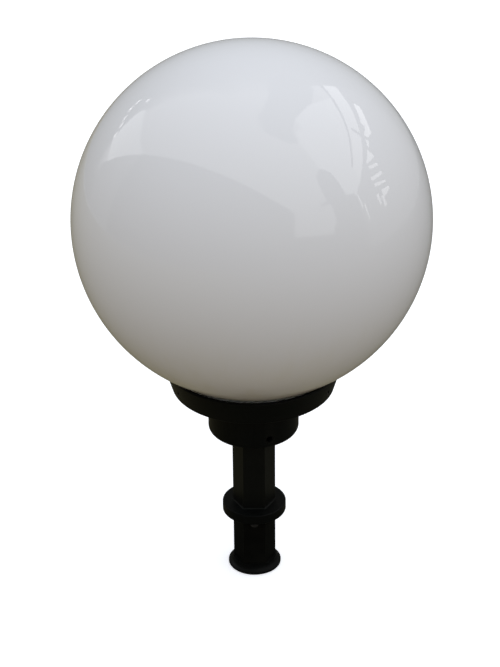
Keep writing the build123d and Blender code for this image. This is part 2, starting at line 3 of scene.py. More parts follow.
import bmesh
import bpy
from math import acos, atan2, cos, degrees, pi, radians, sin, sqrt, tan
from mathutils import Matrix, Vector


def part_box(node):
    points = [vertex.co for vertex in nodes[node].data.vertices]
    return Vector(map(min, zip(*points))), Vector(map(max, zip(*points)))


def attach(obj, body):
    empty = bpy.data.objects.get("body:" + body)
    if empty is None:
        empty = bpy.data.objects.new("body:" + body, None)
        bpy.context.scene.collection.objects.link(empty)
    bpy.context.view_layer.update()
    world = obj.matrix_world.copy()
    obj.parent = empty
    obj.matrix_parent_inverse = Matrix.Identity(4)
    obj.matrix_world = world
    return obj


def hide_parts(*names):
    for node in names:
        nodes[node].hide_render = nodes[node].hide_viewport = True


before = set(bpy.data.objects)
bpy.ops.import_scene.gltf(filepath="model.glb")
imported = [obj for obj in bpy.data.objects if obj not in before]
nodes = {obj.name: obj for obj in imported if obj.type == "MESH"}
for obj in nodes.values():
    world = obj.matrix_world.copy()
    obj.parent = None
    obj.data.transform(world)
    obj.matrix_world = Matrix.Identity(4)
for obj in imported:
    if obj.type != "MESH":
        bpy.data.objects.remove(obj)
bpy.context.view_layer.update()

# ------------------------------------------------------------------ shoe
# The flared foot that ends the stem: moulded in black plastic, round outside and bored for the pole. A
# hexagonal plug on its top goes up inside the lower tube, and two screws at the back clamp the pole.


class Amount:
    """A socket of a finish. Arithmetic on it adds Math nodes, so that expressions can be written out."""

    def __init__(self, finish, socket):
        self.finish = finish
        self.socket = socket

    def maths(self, operation, first, second):
        return self.finish.node("Math", {"operation": operation}, {0: first, 1: second})

    def __add__(self, other):
        return self.maths("ADD", self, other)

    __radd__ = __add__

    def __sub__(self, other):
        return self.maths("SUBTRACT", self, other)

    def __rsub__(self, other):
        return self.maths("SUBTRACT", other, self)

    def __mul__(self, other):
        return self.maths("MULTIPLY", self, other)

    __rmul__ = __mul__

    def least(self, other):
        return self.maths("MINIMUM", self, other)

    def most(self, other):
        return self.maths("MAXIMUM", self, other)

    def between(self, low, high):
        """0 below low, 1 above high, and a smooth rise between them."""
        return self.finish.node(
            "MapRange",
            {"interpolation_type": "SMOOTHSTEP"},
            {"Value": self, "From Min": low, "From Max": high},
        )


class Finish:
    """A material, with one method that adds any node and one that feeds the shader's own sockets."""

    def __init__(self, name):
        self.material = bpy.data.materials.new(name)
        self.material.use_nodes = True
        self.tree = self.material.node_tree
        self.shader = self.tree.nodes["Principled BSDF"]

    def node(self, kind, settings=None, inputs=None, output=0):
        made = self.tree.nodes.new("ShaderNode" + kind)
        for name, value in (settings or {}).items():
            setattr(made, name, value)
        for name, value in (inputs or {}).items():
            self.feed(made.inputs[name], value)
        return Amount(self, made.outputs[output])

    def feed(self, socket, value):
        if isinstance(value, Amount):
            self.tree.links.new(value.socket, socket)
        else:
            socket.default_value = value

    def surface(self, **values):
        """Sets the shader's sockets, named with underscores for spaces."""
        for name, value in values.items():
            self.feed(self.shader.inputs[name.replace("_", " ")], value)

    def show(self, shader):
        """Puts another shader on the surface, in place of the usual one."""
        self.feed(self.tree.nodes["Material Output"].inputs["Surface"], shader)

    def place(self):
        """The surface's own coordinates, in metres, which move with the piece."""
        return self.node("TexCoord", output=3)

    def noise(self, scale, detail=3.0, roughness=0.5, place=None):
        where = place or self.place()
        inputs = {"Vector": where, "Scale": scale, "Detail": detail, "Roughness": roughness}
        return self.node("TexNoise", {}, inputs)

    def stretch(self, across, along, up):
        """The surface's coordinates scaled by axis, for streaks and brush marks."""
        return self.node("Mapping", {}, {"Vector": self.place(), "Scale": (across, along, up)})

    def mix(self, amount, first, second):
        """A colour between two others."""
        return self.node("Mix", {"data_type": "RGBA"}, {0: amount, 6: first, 7: second}, output=2)

    def bump(self, height, distance, strength):
        return self.node("Bump", {}, {"Height": height, "Distance": distance, "Strength": strength})

    def upward(self):
        """How far the surface faces up: 1 on top, -1 underneath."""
        return self.node("SeparateXYZ", {}, {0: self.node("NewGeometry", output=1)}, output=2)


def colour(red, green, blue):
    return (red, green, blue, 1.0)


def black_plastic(name, depth=1.0, gloss=0.08):
    """Moulded black plastic: satin, with a fine grain, a little dust on top, scuffs, and corners paler from
    wear and a painted highlight.
    """
    finish = Finish(name)
    grain = finish.noise(2600.0, 2.0, 0.6)
    cloud = finish.noise(38.0, 4.0, 0.55)
    scuff = finish.noise(420.0, 3.0, 0.7, finish.stretch(1.0, 1.0, 0.18)).between(0.62, 0.74)
    # Paler at edges and corners, picked out by pointiness: partly wear, partly a painted edge highlight.
    corner = finish.node("NewGeometry", output=7).between(0.53, 0.62)
    dust = finish.upward().between(0.35, 0.95) * cloud.between(0.35, 0.7)
    wear_and_edge_highlight = (corner * cloud * 0.8 + scuff * 0.12).least(1.0)
    tones = (depth * 0.0017, depth * 0.0029)
    deeper, paler = (colour(tone, tone * 1.2, tone * 1.1) for tone in tones)
    skin = finish.mix(cloud, deeper, paler)
    worn = finish.mix(wear_and_edge_highlight, skin, colour(0.009, 0.009, 0.007))
    finish.surface(
        Base_Color=finish.mix(dust * 0.10, worn, colour(0.012, 0.011, 0.009)),
        Roughness=0.36 + cloud * 0.12 + dust * 0.15 - wear_and_edge_highlight * 0.06,
        Specular_IOR_Level=gloss,
        Normal=finish.bump(grain * 0.6 + cloud * 0.4, 0.00006, 0.35),
    )
    return finish.material


black = black_plastic("Black moulded plastic")


def tidy_normals(mesh, angle=32):
    """Smooth shading, with every edge sharper than the angle kept crisp."""
    mesh.polygons.foreach_set("use_smooth", [True] * len(mesh.polygons))
    mesh.set_sharp_from_angle(angle=radians(angle))


def dress(node, material, angle=32):
    """A piece whose shape is right already: it gets its material and smooth shading."""
    piece = nodes[node]
    piece.data.materials.clear()
    piece.data.materials.append(material)
    tidy_normals(piece.data, angle)
    return piece


dress("pole_shoe", black)

# ------------------------------------------------------------------ set screws for the pole
# Two headless screws of blackened steel, with key sockets, at the back of the lower tube. They go through
# the tube and the shoe's plug, and press on the pole.


def blackened_steel():
    """Black oxide on steel: dark, slightly blue, with bright metal where a tool has rubbed."""
    finish = Finish("Blackened screws")
    cloud = finish.noise(900.0, 3.0, 0.6)
    corner = finish.node("NewGeometry", output=7).between(0.54, 0.64)
    finish.surface(
        Base_Color=finish.mix(corner * cloud, colour(0.007, 0.007, 0.008), colour(0.07, 0.068, 0.065)),
        Roughness=0.42 + cloud * 0.16,
        Metallic=0.3 + corner * 0.3,
        Specular_IOR_Level=0.25,
        Normal=finish.bump(cloud, 0.00003, 0.4),
    )
    return finish.material


dark_screws = blackened_steel()
dress("pole_set_screws", dark_screws)

# ------------------------------------------------------------------ hexagonal tubes and the collar
# The stem's two hexagonal lengths and the round collar between them, moulded like the shoe. The collar's
# plugs go into both tubes, and a cheese-head screw at the front, just under it, clamps the pole.

# The lower tube gets a darker, less glossy copy of the plastic: painted shade on the lower length of the
# stem.
painted_shade_black = black_plastic("Black plastic with painted shade", 0.4, 0.02)
dress("lower_tube", painted_shade_black)
dress("stem_collar", black)
dress("upper_tube", black)
dress("clamp_screw", dark_screws)

# ------------------------------------------------------------------ bead at the upper tube's foot
# A fine hexagonal ridge round the tube, moulded in one with the collar's top face. It gets a paler copy of
# the black plastic, so that it shows as a painted highlight along the tube's foot.

MM = 0.001
BEAD_SECTION = ((0.0, 0.0), (0.9, 0.0), (0.6, 0.5), (0.3, 0.7), (0.0, 0.7))  # outwards and upwards, in mm


def make(name, verts, faces, material, angle=32):
    """A mesh piece from its points and faces."""
    mesh = bpy.data.meshes.new(name)
    mesh.from_pydata(verts, [], faces)
    mesh.update()
    mesh.materials.append(material)
    tidy_normals(mesh, angle)
    piece = bpy.data.objects.new(name, mesh)
    bpy.context.scene.collection.objects.link(piece)
    return piece


def face_outwards(piece):
    """Joins doubled points on the axis and turns every face outwards."""
    work = bmesh.new()
    work.from_mesh(piece.data)
    bmesh.ops.remove_doubles(work, verts=work.verts, dist=1e-7)
    bmesh.ops.recalc_face_normals(work, faces=work.faces)
    work.to_mesh(piece.data)
    work.free()


def foot_bead(name, tube):
    """A slim hexagonal ridge round a tube, on the face that the tube stands on."""
    low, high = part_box(tube)
    corner = (high[0] - low[0]) / 2
    count = len(BEAD_SECTION)
    verts = []
    faces = []
    for number in range(6):
        way = radians(60 * number)
        for out, up in BEAD_SECTION:
            reach = corner + out * MM
            verts.append((reach * cos(way), reach * sin(way), low[2] + up * MM))
        here, beyond = number * count, (number + 1) % 6 * count
        for step in range(count):
            after = (step + 1) % count
            faces.append((here + step, beyond + step, beyond + after, here + after))
    # Four times paler than the plastic round it: a painted highlight.
    piece = make(name, verts, faces, black_plastic("Black plastic with painted highlight", 4.0), 20)
    face_outwards(piece)
    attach(piece, "fitter")


foot_bead("tube_foot_bead", "upper_tube")

# ------------------------------------------------------------------ tie tube, washer and nut
# A hollow zinc-plated tube with a fine thread. It screws into the collar, and a nut and a washer in the
# cap pull the whole stem together. The supply cable comes up through it.


def plated_steel():
    """Bright zinc on steel: fine brush marks round the piece, with cloudy patches in the plating."""
    finish = Finish("Zinc-plated steel")
    cloud = finish.noise(160.0, 4.0, 0.6)
    fine = finish.noise(3200.0, 2.0, 0.5, finish.stretch(1.0, 1.0, 0.12))
    finish.surface(
        Base_Color=finish.mix(cloud, colour(0.50, 0.50, 0.49), colour(0.66, 0.66, 0.64)),
        Metallic=1.0,
        Roughness=0.26 + cloud * 0.18,
        Normal=finish.bump(fine, 0.00003, 0.5),
    )
    return finish.material


steel = plated_steel()


def ends(node):
    """The heights of a node's lower and upper end, in millimetres."""
    low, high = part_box(node)
    return low[2] / MM, high[2] / MM


THREAD_STEPS = 48  # points round a thread
THREAD_LEVELS = 10  # rings of points in one pitch


def point_round(step, radius, height):
    """One point of a thread's ring, from sizes in millimetres."""
    way = 2 * pi * step / THREAD_STEPS
    return (radius * MM * cos(way), radius * MM * sin(way), height * MM)


def thread(name, radius, depth, pitch, low, high, material, body, wall=0.0, inward=False):
    """A rolled thread: a tube whose radius rises and falls along one helix. Sizes are in millimetres.

    A wall closes it round a plain bore. Inward turns the crests towards the axis.
    """
    levels = int((high - low) / pitch * THREAD_LEVELS)
    side = -1 if inward else 1
    verts = []
    for level in range(levels + 1):
        z = low + (high - low) * level / levels
        fade = min(1.0, (z - low) / pitch, (high - z) / pitch)
        for step in range(THREAD_STEPS):
            wave = 0.5 + 0.5 * cos(2 * pi * ((z - low) / pitch - step / THREAD_STEPS))
            verts.append(point_round(step, radius + side * depth * wave * fade, z))
    following = [(step, (step + 1) % THREAD_STEPS) for step in range(THREAD_STEPS)]
    faces = []
    for level in range(levels):
        row, above = level * THREAD_STEPS, (level + 1) * THREAD_STEPS
        faces += [(row + step, row + beyond, above + beyond, above + step) for step, beyond in following]
    if wall:
        last = levels * THREAD_STEPS
        low_in = len(verts)
        high_in = low_in + THREAD_STEPS
        for z in (low, high):
            verts += [point_round(step, radius - wall, z) for step in range(THREAD_STEPS)]
        for step, beyond in following:
            faces.append((step, low_in + step, low_in + beyond, beyond))
            faces.append((last + step, last + beyond, high_in + beyond, high_in + step))
            faces.append((low_in + step, high_in + step, high_in + beyond, low_in + beyond))
    piece = make(name, verts, faces, material, 60)
    face_outwards(piece)
    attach(piece, body)
    return piece


TIE_ROOT, TIE_DEPTH, TIE_PITCH, TIE_WALL = 4.8, 0.2, 1.0, 0.8
tie_thread = thread(
    "threaded_tie_tube", TIE_ROOT, TIE_DEPTH, TIE_PITCH, *ends("tie_tube"), steel, "fitter", wall=TIE_WALL
)
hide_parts("tie_tube")
dress("tie_washer", steel)
dress("tie_nut", steel)

# ------------------------------------------------------------------ cable bush and gaskets
# Soft black rubber: the bush keeps the cable off the tie tube's mouth, and flat rings seal the cap to the
# gallery and carry the globe's neck.


def rubber():
    """Moulded rubber: dull and slightly uneven, with a little bloom."""
    finish = Finish("Rubber")
    cloud = finish.noise(260.0, 4.0, 0.65)
    finish.surface(
        Base_Color=finish.mix(cloud, colour(0.010, 0.010, 0.010), colour(0.030, 0.029, 0.027)),
        Roughness=0.72 + cloud * 0.15,
        Specular_IOR_Level=0.3,
        Normal=finish.bump(cloud, 0.00008, 0.4),
    )
    return finish.material


seal = rubber()
for node in ("cable_bush", "cap_gasket", "neck_gasket"):
    dress(node, seal)

# ------------------------------------------------------------------ cap and gallery
# The fitter's two steps, in the same black plastic: the cap takes the tube and holds the wiring, and the
# flared gallery above it carries the globe. Three pan-head screws join them, and three headless ones in the
# gallery's rim hold the globe's neck.

dress("pole_cap", black)
dress("gallery", black)
dress("gallery_screws", steel)
for number in (1, 2, 3):
    dress(f"neck_screw_{number}", dark_screws)

# ------------------------------------------------------------------ terminal block
# A two-pole block of pale moulded nylon, with brass tubes and steel screws that clamp the wires in them.
# One more screw fixes it on the pedestal in the cap.


def nylon():
    """Natural nylon: waxy and pale, with faint flow marks."""
    finish = Finish("Nylon")
    cloud = finish.noise(300.0, 3.0, 0.5, finish.stretch(1.0, 0.3, 1.0))
    finish.surface(
        Base_Color=finish.mix(cloud, colour(0.62, 0.61, 0.55), colour(0.74, 0.73, 0.68)),
        Roughness=0.38 + cloud * 0.12,
        Normal=finish.bump(cloud, 0.00004, 0.4),
        Subsurface_Weight=0.15,
        Subsurface_Radius=(0.002, 0.002, 0.0015),
    )
    return finish.material


def bright_brass():
    """Drawn brass with fine marks along it and duller patches."""
    finish = Finish("Brass")
    cloud = finish.noise(240.0, 4.0, 0.6)
    marks = finish.noise(2400.0, 2.0, 0.5, finish.stretch(1.0, 1.0, 0.15))
    finish.surface(
        Base_Color=finish.mix(cloud, colour(0.60, 0.40, 0.15), colour(0.78, 0.58, 0.27)),
        Metallic=1.0,
        Roughness=0.22 + cloud * 0.2,
        Normal=finish.bump(marks, 0.00002, 0.5),
    )
    return finish.material


pale_nylon = nylon()
brass = bright_brass()
dress("terminal_block", pale_nylon)
dress("terminal_tubes", brass)
dress("terminal_screws", steel)
dress("block_screw", steel)

# ------------------------------------------------------------------ lampholder
# A bridge of plated steel carries the lampholder: a heat-proof off-white body round a threaded brass
# sleeve, with a sprung brass contact at the bottom. Its screws come up from below.

for node in ("holder_bracket", "bracket_screws", "holder_screws", "contact_screw"):
    dress(node, steel)


def heatproof_plastic():
    """Off-white moulding of the lampholder: hard, faintly speckled and satin."""
    finish = Finish("Lampholder moulding")
    grit = finish.noise(1500.0, 2.0, 0.7)
    speck = grit.between(0.5, 0.7)
    cloud = finish.noise(90.0, 3.0, 0.5)
    finish.surface(
        Base_Color=finish.mix(speck, colour(0.72, 0.70, 0.64), colour(0.62, 0.60, 0.54)),
        Roughness=0.34 + cloud * 0.14,
        Coat_Weight=0.2,
        Normal=finish.bump(grit, 0.00004, 0.3),
    )
    return finish.material


holder_white = heatproof_plastic()
dress("holder_body", holder_white)
dress("holder_contact", brass)
LAMP_PITCH = 3.63
SLEEVE_ROOT, SLEEVE_DEPTH = 14.0, 0.4
low, high = ends("holder_sleeve")
sleeve = thread(
    "screw_sleeve", SLEEVE_ROOT, SLEEVE_DEPTH, LAMP_PITCH, low, high, brass, "fitter", inward=True
)
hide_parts("holder_sleeve")

# ------------------------------------------------------------------ leads
# Two insulated copper wires, brown and blue. Each runs from its terminal towards the middle, then up
# through the gallery into the lampholder's base.


def insulation(name, shade):
    """Glossy wire insulation, faintly dusty."""
    finish = Finish(name)
    cloud = finish.noise(500.0, 3.0, 0.6)
    paler = tuple(min(1.0, part * 1.5 + 0.01) for part in shade[:3]) + (1.0,)
    finish.surface(Base_Color=finish.mix(cloud, shade, paler), Roughness=0.3 + cloud * 0.15)
    return finish.material


dress("live_lead", insulation("Brown insulation", colour(0.10, 0.035, 0.015)), 60)
dress("neutral_lead", insulation("Blue insulation", colour(0.02, 0.10, 0.38)), 60)

# ------------------------------------------------------------------ bulb
# A pear-shaped lamp: rolled metal screw cap, black insulator and brass tip, a satin white housing, a board
# with the light sources, and a milky dome. It screws into the lampholder's sleeve.


def rolled_metal():
    """The bulb's cap: thin nickel-bright metal with rolling marks."""
    finish = Finish("Bulb cap metal")
    cloud = finish.noise(200.0, 4.0, 0.6)
    finish.surface(
        Base_Color=finish.mix(cloud, colour(0.60, 0.59, 0.56), colour(0.74, 0.73, 0.71)),
        Metallic=1.0,
        Roughness=0.2 + cloud * 0.2,
    )
    return finish.material


def lamp_white(name, roughness):
    """White polycarbonate of the lamp's housing and dome."""
    finish = Finish(name)
    grain = finish.noise(1800.0, 2.0, 0.6)
    cloud = finish.noise(60.0, 3.0, 0.5)
    finish.surface(
        Base_Color=finish.mix(cloud, colour(0.76, 0.76, 0.75), colour(0.82, 0.82, 0.81)),
        Roughness=roughness + cloud * 0.08,
        Normal=finish.bump(grain, 0.00002, 0.3),
    )
    return finish.material


CAP_ROOT, CAP_DEPTH, CAP_WALL = 12.4, 0.7, 0.4
bulb_cap = thread(
    "screw_cap", CAP_ROOT, CAP_DEPTH, LAMP_PITCH, *ends("bulb_cap"), rolled_metal(), "bulb", wall=CAP_WALL
)
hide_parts("bulb_cap")
dress("bulb_tip", brass)
dress("bulb_insulator", black)
dress("bulb_housing", lamp_white("Lamp housing", 0.32), 40)
dress("bulb_dome", lamp_white("Lamp dome", 0.42), 40)
dress("bulb_board", holder_white)

# ------------------------------------------------------------------ globe
# Blown opal acrylic, 300 mm across and 3 mm thick, glossy outside, with a straight neck that stands in the
# gallery. A faint film of dust lies low down and round the neck, where the colour is also darkened and
# warmed as painted shade.

GLOBE_RADIUS = 150.0
GLOBE_WALL = 3.0
NECK_RADIUS = 62.0
NECK_LIP = 1.2  # rounding of the neck's lower edge
NECK_FILLET = 3.0  # rounding between neck and globe
OUTER_GAP, INNER_GAP = 0.8, 1.4  # from the neck's upper corners up to the globe's own edge
SKIN_START = 1.2  # degrees from that edge to the globe's first ring of points
OUTER_STEPS, INNER_STEPS = 140, 90  # points up the globe's outer and inner skin
neck_bottom, globe_top = ends("globe_shade")
globe_centre = globe_top - GLOBE_RADIUS


def opal_acrylic():
    """Opal acrylic: milky all through, with a hard polished skin, the faintest film of dust, and painted
    shade low down.
    """
    finish = Finish("Opal acrylic")
    film = finish.noise(22.0, 5.0, 0.6)
    streak = finish.noise(60.0, 3.0, 0.6, finish.stretch(1.0, 1.0, 0.12)).between(0.45, 0.75)
    height = finish.node("SeparateXYZ", {}, {0: finish.place()}, output=2)
    # Painted shade, mixed with dust: the colour darkens and warms towards the bottom and the neck.
    painted_low_shade = 1.0 - height.between(0.19, 0.34)
    dust_and_painted_shade = (film.between(0.35, 0.75) * 0.25 + streak * 0.25 + painted_low_shade * 0.5) * painted_low_shade
    ripple = finish.noise(9.0, 2.0, 0.4)
    finish.surface(
        Base_Color=finish.mix(dust_and_painted_shade, colour(0.80, 0.80, 0.80), colour(0.72, 0.69, 0.53)),
        Roughness=0.018 + film * 0.016 + dust_and_painted_shade * 0.14,
        Specular_IOR_Level=0.5,
        Normal=finish.bump(ripple, 0.0006, 0.06),
    )
    return finish.material


ARC_STEPS = 6  # pieces in a rounded corner


def rounded(corners):
    """An outline through corners (across, up, radius), each corner with a radius turned into an arc."""
    outline = []
    count = len(corners)
    for number, (x, y, radius) in enumerate(corners):
        here = Vector((x, y))
        if not radius:
            outline.append(here)
            continue
        before = Vector(corners[number - 1][:2]) - here
        after = Vector(corners[(number + 1) % count][:2]) - here
        half = before.angle(after) / 2
        reach = min(radius / tan(half), before.length * 0.49, after.length * 0.49)
        first = here + before.normalized() * reach
        last = here + after.normalized() * reach
        centre = here + (before.normalized() + after.normalized()).normalized() * (reach / cos(half))
        from_centre, to_centre = first - centre, last - centre
        turn = atan2(from_centre.cross(to_centre), from_centre.dot(to_centre))
        for step in range(ARC_STEPS + 1):
            outline.append(centre + Matrix.Rotation(turn * step / ARC_STEPS, 2) @ from_centre)
    return outline


def lathe(name, corners, material, closed=True, turns=256):
    """A turned piece: corners (radius, height, rounding) in millimetres, revolved about the axis."""
    outline = rounded(corners)
    rings = len(outline)
    verts = []
    for turn in range(turns):
        way = 2 * pi * turn / turns
        verts += [(x * MM * cos(way), x * MM * sin(way), y * MM) for x, y in outline]
    faces = []
    for turn in range(turns):
        following = (turn + 1) % turns
        for ring in range(rings if closed else rings - 1):
            beyond = (ring + 1) % rings
            here, there = turn * rings, following * rings
            faces.append((here + ring, there + ring, there + beyond, here + beyond))
    piece = make(name, verts, faces, material, 50)
    face_outwards(piece)
    return piece


def sphere_arc(radius, start, steps):
    """Corners along a sphere's outline from a start angle up to the pole, without rounding."""
    angles = [radians(start + (90 - start) * step / steps) for step in range(steps + 1)]
    return [(radius * cos(angle), globe_centre + radius * sin(angle), 0) for angle in angles]


inner_radius = GLOBE_RADIUS - GLOBE_WALL
neck_inner = NECK_RADIUS - GLOBE_WALL
outer_start = -degrees(acos(NECK_RADIUS / GLOBE_RADIUS))
inner_start = -degrees(acos(neck_inner / inner_radius))
neck_top = globe_centre - sqrt(GLOBE_RADIUS**2 - NECK_RADIUS**2)
globe_profile = [
    (NECK_RADIUS, neck_bottom, NECK_LIP),
    (NECK_RADIUS, neck_top - OUTER_GAP, NECK_FILLET),
    *sphere_arc(GLOBE_RADIUS, outer_start + SKIN_START, OUTER_STEPS),
    *sphere_arc(inner_radius, inner_start + SKIN_START, INNER_STEPS)[::-1],
    (neck_inner, neck_top - INNER_GAP, NECK_FILLET),
    (neck_inner, neck_bottom, NECK_LIP),
]
globe = lathe("opal_globe", globe_profile, opal_acrylic())
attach(globe, "globe")
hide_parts("globe_shade")

# ------------------------------------------------------------------ studio
# A white floor and background under one soft sky, cool above and stronger from the right, with a dim warm
# bounce from below. All the light comes from the sky, and there is no lamp.

world = bpy.data.worlds.new("Studio")
bpy.context.scene.world = world
world.use_nodes = True
world.cycles.sampling_method = "NONE"


class Sky(Finish):
    """The world's node tree, with a finish's methods."""

    def __init__(self, world):
        self.tree = world.node_tree
        self.shader = self.tree.nodes["Background"]


def background_seen(finish):
    """1 for what shows the white background: the camera, reflections and clear glass."""
    camera_ray = finish.node("LightPath", output=0)
    glossy_ray = finish.node("LightPath", output=3)
    transmission_ray = finish.node("LightPath", output=6)
    return camera_ray.most(glossy_ray).most(transmission_ray)


sky = Sky(world)
direction = sky.node("TexCoord", output=0)
rightward = sky.node("SeparateXYZ", {}, {0: direction}, output=0)
height = sky.node("SeparateXYZ", {}, {0: direction}, output=2)
across = rightward * 0.5 + 0.5
overhead = sky.mix(across, colour(0.89, 0.94, 1.04), colour(1.48, 1.52, 1.62))
ground = sky.mix(across, colour(0.320, 0.250, 0.130), colour(0.280, 0.250, 0.205))
zenith = height.between(0.5, 1.0) * 0.8
dome = sky.mix(zenith, overhead, colour(0.72, 0.76, 0.83))
sky_colour = sky.mix(height.between(-0.20, 0.68), ground, dome)
sky.surface(Color=sky.mix(background_seen(sky), sky_colour, colour(1.0, 1.0, 1.0)), Strength=1.0)

FLOOR_HALF = 6.0
FLOOR_DROP = 0.0002  # keeps the floor clear of the shoe's underside, in metres


def floor_finish():
    """White apart from the light's own soft shadow, and dim and warm to the light that it bounces."""
    finish = Finish("Studio floor")
    white = finish.node("BsdfDiffuse", {}, {"Color": colour(0.9, 0.9, 0.9)})
    glow = finish.node("Emission", {}, {"Color": colour(1.0, 1.0, 1.0), "Strength": 0.42})
    lit = finish.node("AddShader", {}, {0: white, 1: glow})
    dim = finish.node("BsdfDiffuse", {}, {"Color": colour(0.22, 0.18, 0.125)})
    mixed = finish.node("MixShader", {}, {0: background_seen(finish), 1: dim, 2: lit})
    finish.show(mixed)
    return finish.material


floor_corners = [
    (-FLOOR_HALF, -FLOOR_HALF, 0),
    (FLOOR_HALF, -FLOOR_HALF, 0),
    (FLOOR_HALF, FLOOR_HALF, 0),
    (-FLOOR_HALF, FLOOR_HALF, 0),
]
floor = make("floor", floor_corners, [(0, 1, 2, 3)], floor_finish())
floor.location.z = -FLOOR_DROP

# ------------------------------------------------------------------ studio boards
# Boards round the light, which only its reflections see: dark ones draw the globe's dark limb and the faint
# level edge across its front, and keep the black fitter black. Places are angles from the globe's middle.

BOARD_DISTANCE = 2.6
middle = Vector((0, 0, globe_centre * MM))


def board_glow(name, shade, strength, soft=False):
    """Dim matt board. A soft one thins out towards its top, unevenly, where v counts 0 to 1 up it."""
    finish = Finish(name)
    glow = finish.node("Emission", {}, {"Color": shade, "Strength": strength})
    if soft:
        upwards = finish.node("SeparateXYZ", {}, {0: finish.node("UVMap")}, output=1)
        patches = finish.noise(3.4, 5.0, 0.65)
        thinning = (upwards + (patches - 0.5) * 0.6).between(0.35, 1.3)
        glow = finish.node("MixShader", {}, {0: thinning, 1: glow, 2: finish.node("BsdfTransparent")})
    finish.show(glow)
    finish.material.cycles.emission_sampling = "NONE"
    return finish.material


def towards(azimuth, elevation, distance=BOARD_DISTANCE):
    """A point seen from the globe's middle: azimuth 0 is the front, 90 the right, elevation upwards."""
    across, up = radians(azimuth), radians(elevation)
    return middle + distance * Vector((sin(across), -cos(across), tan(up)))


def board(name, outline, material, distance=BOARD_DISTANCE):
    """A stage board through (azimuth, low, high) stations, seen only by reflections."""
    verts = []
    for azimuth, low, high in outline:
        verts += [towards(azimuth, low, distance), towards(azimuth, high, distance)]
    faces = [(2 * n, 2 * n + 2, 2 * n + 3, 2 * n + 1) for n in range(len(outline) - 1)]
    piece = make(name, verts, faces, material)
    layer = piece.data.uv_layers.new(name="up")
    for face in piece.data.polygons:
        for loop in face.loop_indices:
            layer.data[loop].uv = (0.0, piece.data.loops[loop].vertex_index % 2)
    return reflections_only(piece)


def reflections_only(piece):
    """Hides a stage piece from everything but mirror-like reflections."""
    piece.visible_camera = False
    piece.visible_diffuse = False
    piece.visible_shadow = False
    piece.visible_transmission = False
    return piece


GROUND = -7.4  # elevation of a board's lower edge, at the floor
dark_board = board_glow("Dark board", colour(0.085, 0.080, 0.068), 1.0)
uneven_board = board_glow("Uneven board", colour(0.25, 0.25, 0.23), 1.0, soft=True)
dim_board = board_glow("Dim board", colour(0.31, 0.31, 0.30), 1.0)
pale_board = board_glow("Pale board", colour(0.98, 0.99, 1.0), 1.6)
high_board = board_glow("High board", colour(0.36, 0.38, 0.38), 1.0)
strip_board = board_glow("Strip board", colour(1.0, 1.0, 1.0), 1.75)
bright_board = board_glow("Bright board", colour(1.0, 1.0, 1.0), 2.3)


def ridge(azimuth, facing, rise):
    """Elevation of a board's straight level top, which stands highest at the azimuth that it faces."""
    return degrees(atan2(tan(radians(rise)) * cos(radians(azimuth - facing)), 1.0))


def spread(first, last, count):
    """Even steps from first to last, both included."""
    return [first + (last - first) * step / (count - 1) for step in range(count)]


# A level-topped board stands before the light, to its left, with a paler end.
LEFT_FACING, LEFT_RISE = -38, 50
front_edge = [(way, GROUND, ridge(way, LEFT_FACING, LEFT_RISE)) for way in spread(-122, 33, 32)]
board("left_board", front_edge[:6], dim_board)
board("front_board", front_edge[5:], dark_board)

# A pale patch stands on that end.
PATCH_END = ((-131, 27, 29), (-129.5, 21.5, 31.5), (-127, 14, 31.6), (-122, 12.5, 32), (-118, 11.2, 32.5))
patch_foot = [(way, ridge(way, LEFT_FACING, LEFT_RISE), 32) for way in (-108, -102, -98)]
board("left_patch", [*PATCH_END, *patch_foot], pale_board, BOARD_DISTANCE - 0.05)

# A second level-topped board stands to the right, and on it a bright strip, a slim dark rail and a post.
RIGHT_FACING = 131
RIGHT_RISE, STRIP_RISE, RAIL_RISE = 34.5, 42.0, 43.4
right_ways = spread(73, 162, 19)


def level_strip(low_rise, high_rise):
    """A strip between two straight level edges, along the middle of the right board."""
    strip = []
    for way in right_ways[2:16]:
        strip.append((way, ridge(way, RIGHT_FACING, low_rise), ridge(way, RIGHT_FACING, high_rise)))
    return strip


right_edge = [(way, GROUND, ridge(way, RIGHT_FACING, RIGHT_RISE)) for way in right_ways]
board("right_board", right_edge, dim_board)
board("bright_strip", level_strip(RIGHT_RISE, STRIP_RISE), strip_board, BOARD_DISTANCE + 0.1)
board("right_rail", level_strip(STRIP_RISE, RAIL_RISE), dark_board)
board("rail_post", [(109, 30, 38), (111, 30, 38)], dark_board)

# A low board with a post joins the two, and a pale one stands behind them.
board("low_board", [(33, GROUND, 24), (50, GROUND, 26), (73, GROUND, 22)], dark_board)
board("post", [(52, 20, 36), (54, 20, 41), (60, 20, 43), (66, 20, 38), (67, 20, 24)], dark_board)
PALE_EDGE = (
    (60, 46), (63, 60), (68, 62), (74, 66), (84, 63), (92, 67),
    (101, 68), (110, 63), (117, 62), (124, 55), (130, 46), (134, 40),
)
board("pale_patch", [(way, 15, top) for way, top in PALE_EDGE], pale_board, BOARD_DISTANCE + 0.3)

# One with an uneven edge hangs high above the pale one.
HIGH_EDGE = (
    (36, 76, 79), (44, 72, 84), (50, 66, 80), (58, 62, 86), (63, 61, 84), (74, 67, 88),
    (92, 68, 85), (110, 64, 87), (124, 56, 84), (140, 48, 80), (152, 48, 72), (163, 50, 64),
)
board("high_board", HIGH_EDGE, high_board, BOARD_DISTANCE + 0.2)

# Behind the light an uneven board thins out upwards.
REAR_EDGE = (
    (143, 60), (152, 66), (165, 70), (185, 70), (205, 70), (214, 66),
    (222, 56), (228, 45), (232, 34), (236, 13), (240, 8),
)
board("rear_board", [(way, GROUND, top) for way, top in REAR_EDGE], uneven_board)

